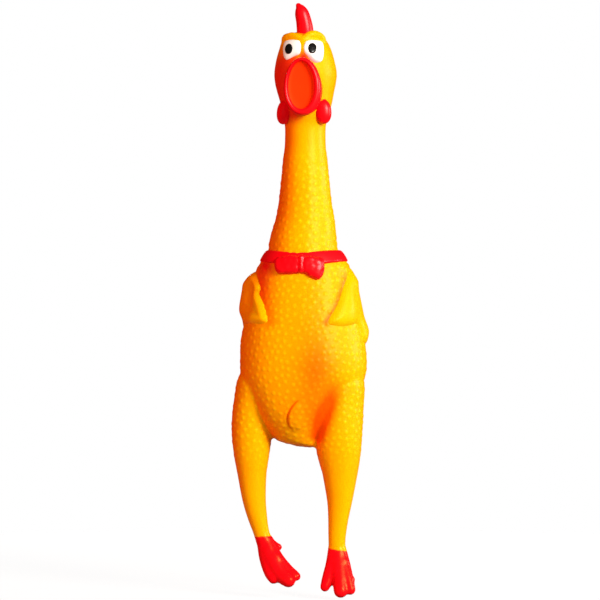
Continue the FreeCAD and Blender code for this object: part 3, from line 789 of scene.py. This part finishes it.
def make_linings():
    """Inner skin behind each leg's crease and the keel, seen in the crease when a leg swings."""
    for side, leg in (("left", LEFT_LEG), ("right", RIGHT_LEG)):
        form = Form()
        form.add_limb([(x, y, z, radius - HIP_INSET) for x, y, z, radius in leg if z > -70], around=48)
        points, faces = fused(form, LINING_VOXEL)
        empty = np.zeros(len(points))
        # The linings get no dome highlight and an even painted shade in deep orange.
        piece = piece_of(f"hip_lining_{side}", points, faces, {"dome_highlight": empty, "painted_shade": empty + LINING_SHADE})
        bend(piece)
        paint_piece(piece, VINYL)
    form = Form()
    form.add_column([
        (z, x, y, max(wide - KEEL_INSET_SIDE, LINING_RIM), max(deep - KEEL_INSET_FRONT, LINING_RIM))
        for z, x, y, wide, deep in BODY if -65 < z < -15])
    points, faces = fused(form, LINING_VOXEL)
    empty = np.zeros(len(points))
    # No dome highlight and an even painted shade in deep orange on the keel's lining too.
    piece = piece_of("keel_lining", points, faces, {"dome_highlight": empty, "painted_shade": empty + LINING_SHADE})
    bend(piece)
    paint_piece(piece, VINYL)


# ---------------------------------------------------------------- wings

def body_at(height):
    """Centre and half sizes of the body at a height."""
    rows = np.array(BODY)
    return [np.interp(height, rows[:, 0], rows[:, column]) for column in (1, 2, 3, 4)]


# Outline of each wing on the body's side: (turn from the front in degrees, height)
LEFT_WING = [
    (74, 51.5), (64, 47.5), (56.5, 43.4), (47.5, 36), (39, 28.8), (30, 21.5), (28.5, 17.2), (42, 15.9),
    (57, 16.6), (71, 18), (76, 13.5), (79, 7), (86, 4), (96, 3.6), (107, 7), (117, 16), (126, 30),
    (128, 42), (118, 52), (97, 56), (84, 54.5),
]
RIGHT_WING = [
    (80, 53), (67, 51.2), (58.5, 47.2), (52.5, 42.8), (51.5, 40), (54.5, 38.4), (48.5, 34.8), (42.5, 31),
    (37, 26.4), (32, 21.4), (31.5, 18.6), (38, 17.2), (48, 17.3), (60, 17.6), (84, 17.4), (97, 12),
    (106, 8), (116, 12), (125, 26), (129, 40), (119, 49), (102, 53),
]


def left_wing_thickness(turn, height):
    shoulder = 1.0 * smooth_step(60, 82, turn) * smooth_step(38, 48, height)
    tip = 1.4 * smooth_step(66, 84, turn) * smooth_step(24, 13, height)
    return 2.7 + shoulder + tip + 1.2 * smooth_step(76, 58, turn)


def right_wing_thickness(turn, height):
    """This wing is puffed out over the shoulder."""
    return 2.6 + 4.8 * smooth_step(62, 90, turn) * smooth_step(16, 31, height)


def distance_inside(u, v, outline):
    """Distance from each point to the outline, positive inside; plain polygon test on arrays."""
    inside = np.zeros(u.shape, bool)
    nearest = np.full(u.shape, 1e9)
    count = len(outline)
    for number in range(count):
        (x1, y1), (x2, y2) = outline[number], outline[(number + 1) % count]
        crosses = ((y1 > v) != (y2 > v))
        slope = (x2 - x1) / (y2 - y1 + 1e-12)
        inside ^= crosses & (u < x1 + slope * (v - y1))
        length = (x2 - x1) ** 2 + (y2 - y1) ** 2
        along = np.clip(((u - x1) * (x2 - x1) + (v - y1) * (y2 - y1)) / length, 0, 1)
        nearest = np.minimum(nearest, np.hypot(u - x1 - along * (x2 - x1), v - y1 - along * (y2 - y1)))
    return np.where(inside, nearest, -nearest)


WING_SCALE = 0.62  # millimetres along the body's side for a degree of turn
# The grid that a wing's surface is worked out on: first, last and step, in degrees and in millimetres
WING_TURNS = (20, 142, 0.9)
WING_HEIGHTS = (0, 60, 0.6)
WING_SUNK = -0.8
WING_BACK = -2.2


def wing_piece(side, sign, outline, thickness, band, shade):
    """A smooth raised wing over the body's side, with a soft ridge along its front edge."""
    turned, v = np.meshgrid(np.arange(*WING_TURNS), np.arange(*WING_HEIGHTS))
    inside = distance_inside(turned * WING_SCALE, v,
                             rounded_outline([(turn * WING_SCALE, height) for turn, height in outline]))
    rise = 0.5 * dome_ramp(inside, 5.0) + 0.5 * smooth_step(0, 10, inside)
    front = smooth_step(92, 72, turned) * dome_ramp(inside, 4.0)
    ridge = np.exp(-((inside - 3.4) / 2.7) ** 2) - 0.8 * np.exp(-((inside - 10) / 3.4) ** 2)
    height_over = WING_SUNK + (thickness(turned, v) - WING_SUNK) * rise + band * ridge * front
    x0, y0, wide, deep = body_at(v)
    turn = np.radians(turned)
    nx, ny = np.sin(turn) / wide, -np.cos(turn) / deep
    norm = np.hypot(nx, ny)
    nx, ny = nx / norm, ny / norm
    layers = []
    for over in (height_over, np.full(v.shape, WING_BACK)):
        layers.append(np.stack([x0 + sign * (wide * np.sin(turn) + over * nx),
                                y0 - deep * np.cos(turn) + over * ny, v], axis=-1))
    form = Form()
    form.add_slab(layers[0], layers[1], inside > -1.0, flip=sign < 0)
    points, quads = fused(form, 0.6, relax=10)
    x0, y0, wide, deep = body_at(points[:, 2])
    around = np.degrees(np.arctan2(sign * (points[:, 0] - x0) / wide, (y0 - points[:, 1]) / deep))
    # Painted shade in deep orange on the wing's outer face; elsewhere a third of the dome tops' painted
    # highlight.
    painted_shade = shade * smooth_step(50, 62, around) * smooth_step(140, 115, around)
    piece = piece_of(f"wing_relief_{side}", points, quads, {"dome_highlight": 0.35 * (1 - painted_shade), "painted_shade": painted_shade})
    bend(piece)
    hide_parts(f"wing_{side}")
    paint_piece(piece, VINYL)


def rounded_outline(outline):
    """Two rounds of corner cutting on a closed outline."""
    points = np.array(outline, float)
    for _ in range(2):
        after = np.roll(points, -1, axis=0)
        points = np.stack([0.8 * points + 0.2 * after, 0.2 * points + 0.8 * after], axis=1).reshape(-1, 2)
    return [tuple(point) for point in points]


# ---------------------------------------------------------------- features that lie on the skin

PATCH_STEP = 0.4
PATCH_SUNK = 0.7


def add_patch(form, surface, outline, rise, edge):
    """Adds a raised patch on the front of the skin, within an outline of (x, height) points."""
    outline = rounded_outline(outline)
    low, high = np.min(outline, axis=0) - 1, np.max(outline, axis=0) + 1
    x, z = np.meshgrid(np.arange(low[0], high[0], PATCH_STEP), np.arange(low[1], high[1], PATCH_STEP))
    inside = distance_inside(x, z, outline)
    over = (rise + PATCH_SUNK) * dome_ramp(inside, edge) - PATCH_SUNK
    keep = inside > -0.8
    outer, inner = np.zeros(x.shape + (3,)), np.zeros(x.shape + (3,))
    for row, column in np.argwhere(keep):
        place, normal = surface.ray_cast((x[row, column], -80, z[row, column]), (0, 1, 0))[:2]
        outer[row, column] = place + normal * over[row, column]
        inner[row, column] = place - normal * 2
    form.add_slab(outer, inner, keep)


# ---------------------------------------------------------------- painted features

def painted_piece(name, form, voxel, body, node, material=RED, relax=5):
    points, faces = fused(form, voxel, relax=relax)
    # Red towards the beak, used by the eye whites: partly overspray, partly painted reflection of the beak's
    # red.
    piece = piece_of(name, points, faces, {"red_mist_and_shade": 0.6 * smooth_step(1.35, 1.0, beak_distance(points))})
    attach(piece, body)
    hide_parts(node)
    paint_piece(piece, material)


def make_comb():
    """Four fleshy teeth on one root, thick at the foot, leaning a little to the right."""
    form = Form()
    root = [(1.4, -5, 208, 4.8), (1.4, 0, 210, 5.0), (1.2, 7, 210, 4.8), (1.0, 14, 207.5, 4.4)]
    form.add_limb(root, around=32)
    teeth = [
        [(1.5, -5.5, 209, 5.6), (1.3, -6, 215.3, 5.6), (0.5, -6.6, 221, 5.2), (-0.8, -7, 226.2, 4.7),
         (-2.0, -7, 229.4, 3.4), (-3.0, -7, 231.2, 1.9)],
        [(1.4, 0, 210, 4.8), (1.2, 0.5, 218, 4.2), (0.2, 1.5, 223.6, 3.4), (-0.8, 2, 228.2, 2.2)],
        [(1.2, 6, 210, 4.6), (1.4, 7.5, 216, 4.0), (0.8, 9, 221, 3.2), (0, 10, 225.4, 2.1)],
        [(1.0, 12, 207.5, 4.2), (1.4, 14.5, 212.5, 3.6), (1.0, 17, 216.5, 2.8), (0.6, 19, 219.6, 1.9)],
    ]
    for tooth in teeth:
        form.add_limb(tooth, around=28)
    painted_piece("comb_relief", form, 0.55, "comb_fin", "comb", relax=8)


def make_wattles():
    """Soft lobes hanging at the jaw's corners."""
    lobes = {
        "left": ((13.7, -10, 160.0), (5.8, 4.8, 8.5), -0.10),
        "right": ((-12.5, -9, 159.6), (4.9, 4.6, 8.2), 0.12),
    }
    for side, (centre, radii, lean) in lobes.items():
        form = Form()
        form.add_egg(centre, radii, lean, power=0.92)
        painted_piece(f"wattle_lobe_{side}", form, 0.5, "head", f"wattle_{side}", relax=6)


BEAK_X = 2.5
BEAK_Z = 175.5
# The lip's section from the face forwards and back in: (depth, half width, half height, x, height).
# The opening is turned a little to the right, so the lip's left side is the broader one.
LIP = [
    (-12, 11.6, 17.6, 2.2, 175.0), (-20, 11.6, 17.8, 2.2, 175.0), (-26, 11.9, 18.4, 2.1, 175.1),
    (-30.5, 12.5, 19.4, 2.1, 175.2), (-33.0, 11.9, 18.8, 1.9, 175.4), (-34.2, 10.6, 17.6, 1.6, 175.6),
    (-33.6, 9.2, 16.3, 1.5, 176), (-31.6, 8.5, 15.6, 1.3, 176.1), (-28, 8.2, 15.1, 1.3, 176.1),
    (-23, 8.0, 14.6, 1.2, 176), (-16, 7.4, 13.8, 1.6, 175.6),
]
# The lining from the middle of its front out to its rim and back to the middle of its back:
# (depth, share of its full size)
LINING_FRONT = [(-30.4, 0.02), (-30.5, 0.4), (-30.7, 0.72), (-31.1, 0.90), (-31.6, 0.97), (-32.3, 1.0)]
LINING_BACK = [(-31.6, 1.05), (-29.6, 1.03), (-28.2, 0.95), (-27.4, 0.84), (-27.0, 0.5), (-26.8, 0.02)]
LINING_WIDE = 9.0
LINING_TALL = 15.9
LINING_X = 1.3
LINING_Z = 176.1


def oval(y, half_width, half_tall, x, z, around=96):
    """An upright oval, a little narrower at its top than at its foot."""
    ring = []
    for step in range(around):
        turn = ROUND * step / around
        across, up = math.cos(turn), math.sin(turn)
        ring.append((x + half_width * across * (1 - 0.05 * up), y, z + half_tall * up))
    return ring


def closed_tube(rings):
    """Points and faces of a ring-shaped surface that closes on itself both ways."""
    around = len(rings[0])
    faces = []
    for row in range(len(rings)):
        after_row = (row + 1) % len(rings)
        for step in range(around):
            after = (step + 1) % around
            faces.append((row * around + step, after_row * around + step,
                          after_row * around + after, row * around + after))
    return np.array([point for ring in rings for point in ring]), np.array(faces)


def make_beak():
    """A thick rolled lip round the open mouth, on a short funnel that joins the face."""
    points, faces = closed_tube([oval(*station) for station in through(LIP, 4)])
    piece = piece_of("beak_lip", points, faces)
    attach(piece, "head")
    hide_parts("beak_rim")
    paint_piece(piece, RED)


def make_mouth():
    """The orange lining: a shallow dish behind the lip."""
    rings = []
    for y, share in np.vstack([through(LINING_FRONT, 5), through(LINING_BACK, 5)]):
        rings.append(oval(y, LINING_WIDE * share, LINING_TALL * share, LINING_X, LINING_Z))
    form = Form()
    form.add_rings(rings)
    piece = make_object("mouth_lining", make_mesh("mouth_lining", form.points, form.faces))
    piece.data.shade_smooth()
    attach(piece, "head")
    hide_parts("mouth_cup")
    paint_piece(piece, ORANGE)


# Outline of each eye's white: (x, height)
EYE_OUTLINES = {
    "left": [
        (2.7, 206.8), (6.4, 207.7), (11, 207.7), (13.6, 206.6), (14.8, 203), (14.8, 196), (13.6, 192.4),
        (9.4, 191.4), (6.4, 193.2), (4.2, 196), (2.0, 198.8), (1.5, 203),
    ],
    "right": [
        (-11.2, 207.8), (-5.4, 208.0), (-1.2, 207.2), (0.1, 204.2), (0.1, 199.2), (-1.2, 197), (-4.5, 196),
        (-7.4, 194.6), (-10.4, 193.6), (-12.4, 196.4), (-13.2, 201.6), (-12.9, 205.8),
    ],
}
PUPILS = {"left": (7.1, 201.3), "right": (-7.9, 201.1)}
PUPIL_SIZE = (3.2, 4.1)


def make_eyes(surface):
    """Raised whites under the brows, and black pupils on them."""
    for side, outline in EYE_OUTLINES.items():
        form = Form()
        add_patch(form, surface, outline, 1.1, 2.4)
        painted_piece(f"eye_white_{side}", form, 0.35, "head", f"eye_{side}", WHITE)
        x, z = PUPILS[side]
        turns = [ROUND * step / 24 for step in range(24)]
        circle = [(x + PUPIL_SIZE[0] * math.cos(turn), z + PUPIL_SIZE[1] * math.sin(turn)) for turn in turns]
        form = Form()
        add_patch(form, surface, circle, 1.7, 1.6)
        painted_piece(f"pupil_spot_{side}", form, 0.25, "head", f"pupil_{side}", BLACK)


# The collar's section as (radius, height); it is a little shallower than wide and sags in front
COLLAR = [
    (21.5, 66.2), (23.6, 67.2), (25.6, 66.6), (27.5, 64.2), (28.9, 61.8), (29.5, 60.2), (28.4, 59.2),
    (25.0, 58.6), (21.5, 58.8),
]
COLLAR_DEPTH = 0.91
COLLAR_X = -0.1


def make_collar():
    """A flared band round the root of the neck."""
    rings = []
    for radius, height in through(COLLAR + COLLAR[:1], 4)[:-1]:
        ring = []
        for step in range(160):
            turn = ROUND * step / 160
            front = max(0.0, -math.sin(turn)) ** 3
            sag = front * (1.0 + 0.16 * (67 - height))
            across, back = radius * math.cos(turn), COLLAR_DEPTH * radius * math.sin(turn)
            ring.append((COLLAR_X + across, back, height - sag))
        rings.append(ring)
    piece = piece_of("collar_relief", *closed_tube(rings))
    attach(piece, "torso")
    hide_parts("collar_band")
    paint_piece(piece, RED)


# The bow's parts: outline of (x, height), rise over the skin and width of the rounded edge
BOW = [
    ([(-17.2, 61.5), (-17.4, 54), (-15, 50.8), (-6.5, 50.6), (0.4, 51.5), (1.2, 58), (0.4, 63.6),
      (-9.9, 63.8)], 3.8, 3.4),
    ([(-1.8, 63.8), (3.0, 63.8), (3.6, 57.6), (2.8, 51.4), (-1.1, 51.1), (-2.0, 58)], 4.5, 2.6),
    ([(0.8, 63.4), (8.2, 63.2), (14.6, 61.6), (16.2, 57), (15.4, 51), (13.4, 47.6), (10.6, 46.9), (7.5, 48.2),
      (4.2, 50.6), (0.8, 51.6)], 4.4, 3.8),
]


def make_bow(surface):
    """A soft bow in low relief: a broad right lobe, a small knot and a left lobe that droops."""
    form = Form()
    for outline, rise, edge in BOW:
        add_patch(form, surface, outline, rise, edge)
    painted_piece("bow_relief", form, 0.5, "torso", "bow_tie", relax=8)


def finish_squeaker():
    """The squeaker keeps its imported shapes."""
    for node in ("squeaker_housing", "squeaker_cap", "reed_holder"):
        paint_piece(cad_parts[node], SQUEAKER)
    paint_piece(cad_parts["squeaker_reed"], REED)


# ---------------------------------------------------------------- floor, light and camera

FLOOR_SIDES = 96
FLOOR_RADIUS = 600


def make_stage():
    """A pale, nearly clear round floor under the lowest toe."""
    turns = [ROUND * step / FLOOR_SIDES for step in range(FLOOR_SIDES)]
    rim = [(FLOOR_RADIUS * math.cos(turn), FLOOR_RADIUS * math.sin(turn), cad_low.z / MM) for turn in turns]
    floor = make_object("floor", make_mesh("floor", rim, [range(FLOOR_SIDES)]))
    material, nodes, links, shader = new_material("pale floor")
    links.new(ramp(nodes, links, speckle(nodes, links, 3.0, 2.0),
                   [(0.3, FLOOR_PALE), (0.7, FLOOR_PALER)]), shader.inputs["Base Color"])
    shader.inputs["Roughness"].default_value = 0.9
    shader.inputs["Alpha"].default_value = 0.1
    floor.data.materials.append(material)


def area_light(name, place, size, power, colour, glints=True):
    """A round soft light aimed at the chicken; one without glints isn't mirrored in its gloss."""
    data = bpy.data.lights.new(name, "AREA")
    data.shape = "DISK"
    data.size = size
    data.energy = power
    data.color = colour
    lamp = bpy.data.objects.new(name, data)
    bpy.context.scene.collection.objects.link(lamp)
    lamp.location = place
    lamp.rotation_mode = "QUATERNION"
    lamp.rotation_quaternion = (Vector((0, 0, 0.03)) - Vector(place)).to_track_quat("-Z", "Y")
    lamp.visible_glossy = glints


def make_light():
    area_light("key", (1.45, -1.35, 0.75), 0.8, 68, (1.0, 0.98, 0.93))
    area_light("side", (1.8, 0.35, 0.4), 0.6, 14, (1.0, 0.98, 0.93))
    area_light("front", (-0.3, -1.8, 0.4), 1.2, 14, (1.0, 0.97, 0.92), glints=False)
    area_light("warm fill", (-1.7, -0.3, 0.0), 1.0, 13, (1.0, 0.22, 0.10), glints=False)
    area_light("back", (-0.3, 1.8, 0.6), 1.0, 46, (1.0, 0.98, 0.95), glints=False)
    world = bpy.data.worlds.new("studio")
    bpy.context.scene.world = world
    world.use_nodes = True
    nodes, links = world.node_tree.nodes, world.node_tree.links
    seen = nodes["Background"]
    seen.inputs["Color"].default_value = (1, 1, 1, 1)
    seen.inputs["Strength"].default_value = 1.0
    lighting = nodes.new("ShaderNodeBackground")
    lighting.inputs["Color"].default_value = (1.0, 0.30, 0.10, 1)
    lighting.inputs["Strength"].default_value = 0.06
    path = nodes.new("ShaderNodeLightPath")
    mix = nodes.new("ShaderNodeMixShader")
    links.new(path.outputs["Is Camera Ray"], mix.inputs["Fac"])
    links.new(lighting.outputs["Background"], mix.inputs[1])
    links.new(seen.outputs["Background"], mix.inputs[2])
    links.new(mix.outputs["Shader"], nodes["World Output"].inputs["Surface"])


CAMERA_TURN = math.radians(6.0)
LENS = 180.0
VIEW_CENTRE = (-0.0027, 0.0, 0.0337)
VIEW_TALL = 0.404


def make_camera():
    data = bpy.data.cameras.new("camera")
    data.lens = LENS
    data.sensor_width = 36.0
    distance = VIEW_TALL / 2 / (data.sensor_width / 2 / LENS)
    camera = bpy.data.objects.new("camera", data)
    bpy.context.scene.collection.objects.link(camera)
    back = Vector((math.sin(CAMERA_TURN), -math.cos(CAMERA_TURN), 0))
    camera.location = Vector(VIEW_CENTRE) + back * distance
    camera.rotation_mode = "QUATERNION"
    camera.rotation_quaternion = (-back).to_track_quat("-Z", "Y")
    data.clip_end = 50
    bpy.context.scene.camera = camera
    bpy.context.scene.view_settings.view_transform = "Standard"


skin_surface = make_skin()
make_linings()
wing_piece("left", 1, LEFT_WING, left_wing_thickness, 0.3, 0.0)
wing_piece("right", -1, RIGHT_WING, right_wing_thickness, 1.1, 0.5)
make_comb()
make_wattles()
make_beak()
make_mouth()
make_eyes(skin_surface)
make_collar()
make_bow(skin_surface)
finish_squeaker()
make_stage()
make_light()
make_camera()
